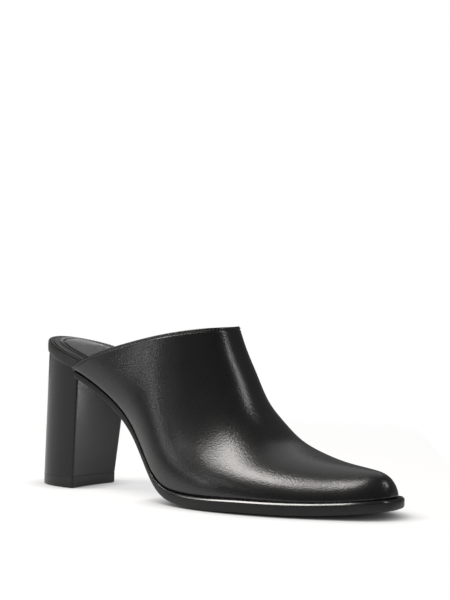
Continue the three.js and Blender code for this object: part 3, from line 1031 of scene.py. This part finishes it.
# %% White paper
floor = sheet("floor", PAPER)
paper, paper_tree, matt = new_material("white_paper", (0.3, 0.3, 0.3), 0.7, Specular_IOR_Level=0.1,
                                       Emission_Color=(1, 1, 1, 1))
# Painted shade: the paper's glow is darkened close to the shoe.
painted_contact_shade = add(paper_tree, "ShaderNodeAmbientOcclusion", Distance=SHADE_REACH)
paper_light = add(paper_tree, "ShaderNodeMath", operation="MULTIPLY")
paper_light.inputs[1].default_value = PAPER_LIFT
paper_tree.links.new(painted_contact_shade.outputs["AO"], paper_light.inputs[0])
paper_tree.links.new(paper_light.outputs["Value"], matt.inputs["Emission Strength"])
away = add(paper_tree, "ShaderNodeVectorMath", operation="LENGTH")
paper_tree.links.new(add(paper_tree, "ShaderNodeTexCoord").outputs["Object"], away.inputs[0])
fade_out = add(paper_tree, "ShaderNodeMapRange", interpolation_type="SMOOTHSTEP")
fade_out.inputs["From Min"].default_value, fade_out.inputs["From Max"].default_value = PAPER_FADE
paper_tree.links.new(away.outputs["Value"], fade_out.inputs["Value"])
plain_white = add(paper_tree, "ShaderNodeEmission", Strength=1.0)
blend = add(paper_tree, "ShaderNodeMixShader")
paper_tree.links.new(fade_out.outputs["Result"], blend.inputs["Fac"])
paper_tree.links.new(matt.outputs["BSDF"], blend.inputs[1])
paper_tree.links.new(plain_white.outputs["Emission"], blend.inputs[2])
paper_end = paper_tree.nodes["Material Output"]
paper_tree.links.new(blend.outputs["Shader"], paper_end.inputs["Surface"])
floor.data.materials.append(paper)
print("the paper fades out at, m:", PAPER_FADE)

# %% Surround and world
BALL_RADIUS, ROOM_LIGHT = 6.0, 0.11
white = bpy.data.materials.new("white_surround")
white.use_nodes = True
white.node_tree.nodes.clear()
ball_white = add(white.node_tree, "ShaderNodeEmission", Strength=1.0)
ball_end = add(white.node_tree, "ShaderNodeOutputMaterial")
white.node_tree.links.new(ball_white.outputs["Emission"], ball_end.inputs["Surface"])
ball, ball_mesh = bmesh.new(), bpy.data.meshes.new("surround")
bmesh.ops.create_uvsphere(ball, u_segments=48, v_segments=24, radius=BALL_RADIUS)
ball.to_mesh(ball_mesh)
ball.free()
surround = bpy.data.objects.new("surround", ball_mesh)
bpy.context.scene.collection.objects.link(surround)
for backdrop in (surround, sheet("far_floor", FAR)):
    backdrop.data.materials.append(white)
    backdrop.visible_glossy = False
    backdrop.visible_diffuse = False
    backdrop.visible_shadow = False
    backdrop.visible_transmission = False

world = bpy.data.worlds.new("studio")
world.use_nodes = True
world.node_tree.nodes["Background"].inputs["Color"].default_value = (1, 1, 1, 1)
world.node_tree.nodes["Background"].inputs["Strength"].default_value = ROOM_LIGHT
bpy.context.scene.world = world
print("white ball of", BALL_RADIUS, "m, and a world light of", ROOM_LIGHT)


# %% [markdown]
# Nine area lights make the reflections. The key hangs overhead on the near left, and gives the
# broad light on the flank and the long streak to the toe. Smaller boxes on the left add the
# lesser lights, a narrow strip at the back right draws the fine line beside the instep, and a dim
# panel behind lifts the crown. Two cards reach one part of the shoe each, through light linking:
# on the set they would stand so close to it that the rest didn't see them. One is for the heel's
# breast, one for the seat. Each lamp is given by the brightness of its face, so that it compares
# directly with white paper.

# %% Light helpers
def soft_box(name, place, facing, size, brightness):
    """An area light at a place, facing along a direction, with a size in metres."""
    data = bpy.data.lights.new(name, "AREA")
    data.shape, data.size, data.size_y = "RECTANGLE", *size
    data.energy = math.pi * size[0] * size[1] * brightness
    lamp = bpy.data.objects.new(name, data)
    lamp.rotation_mode = "QUATERNION"
    lamp.rotation_quaternion = (-Vector(facing)).to_track_quat("Z", "Y")
    lamp.location = place
    lamp.visible_camera = False
    bpy.context.scene.collection.objects.link(lamp)
    print(name, "at, m:", [round(v, 2) for v in place])
    return lamp


def only_on(lamp, pieces):
    """Links a light to a few pieces."""
    reached = bpy.data.collections.new("reached_by_" + lamp.name)
    for piece in pieces:
        reached.objects.link(piece)
    lamp.light_linking.receiver_collection = reached


def around(azimuth, elevation, distance, target=(0, 0, 0.05)):
    """A place round the target and the way back to it: azimuth 0 faces the outer side, 90 the toe."""
    a, e = math.radians(azimuth), math.radians(elevation)
    way = Vector((math.sin(a) * math.cos(e), -math.cos(a) * math.cos(e), math.sin(e)))
    return Vector(target) + way * distance, -way


# %% Key
KEY_LEFT, KEY_NEAR, KEY_HEIGHT, KEY_TURN = 0.63, 0.135, 1.2, -0.15
ahead_of_camera = Vector((-math.sin(AZIMUTH), math.cos(AZIMUTH), 0))
key_place = right * -KEY_LEFT + ahead_of_camera * -KEY_NEAR + Vector((0, 0, KEY_HEIGHT))
key = soft_box("key_box", key_place, (0, 0, -1), (1.14, 0.43), 13.5)
key.data.color = (1.0, 0.97, 0.93)
key.rotation_mode = "XYZ"
key.rotation_euler = (0, 0, AZIMUTH + KEY_TURN)

# %% Boxes and cards
BOXES = (
    ("left_box", -29, 27, 1.5, (0.22, 0.1), 6),
    ("left_low", -37, 12.5, 1.5, (0.16, 0.24), 6),
    ("left_card", -16, 26, 1.5, (0.5, 0.5), 0.25),
    ("skirt_box", -62, 42, 1.5, (0.4, 0.3), 3),
    ("strip_box", 117, 36, 1.5, (0.17, 0.72), 8),
    ("back_panel", -146, 50, 1.8, (1.5, 1.4), 0.45),
)
for name, azimuth, elevation, distance, size, brightness in BOXES:
    soft_box(name, *around(azimuth, elevation, distance), size, brightness)
heel_place = Vector((cad_low[0] + 0.03, 0, 0.04))
breast_card = soft_box("breast_card", *around(163, 0, 0.9, heel_place), (0.2, 0.3), 17)
only_on(breast_card, [heel])
seat_card = soft_box("seat_card", *around(-148, 13, 1.5, heel_place), (1.3, 0.36), 2.1)
only_on(seat_card, [insole, heel_pad])
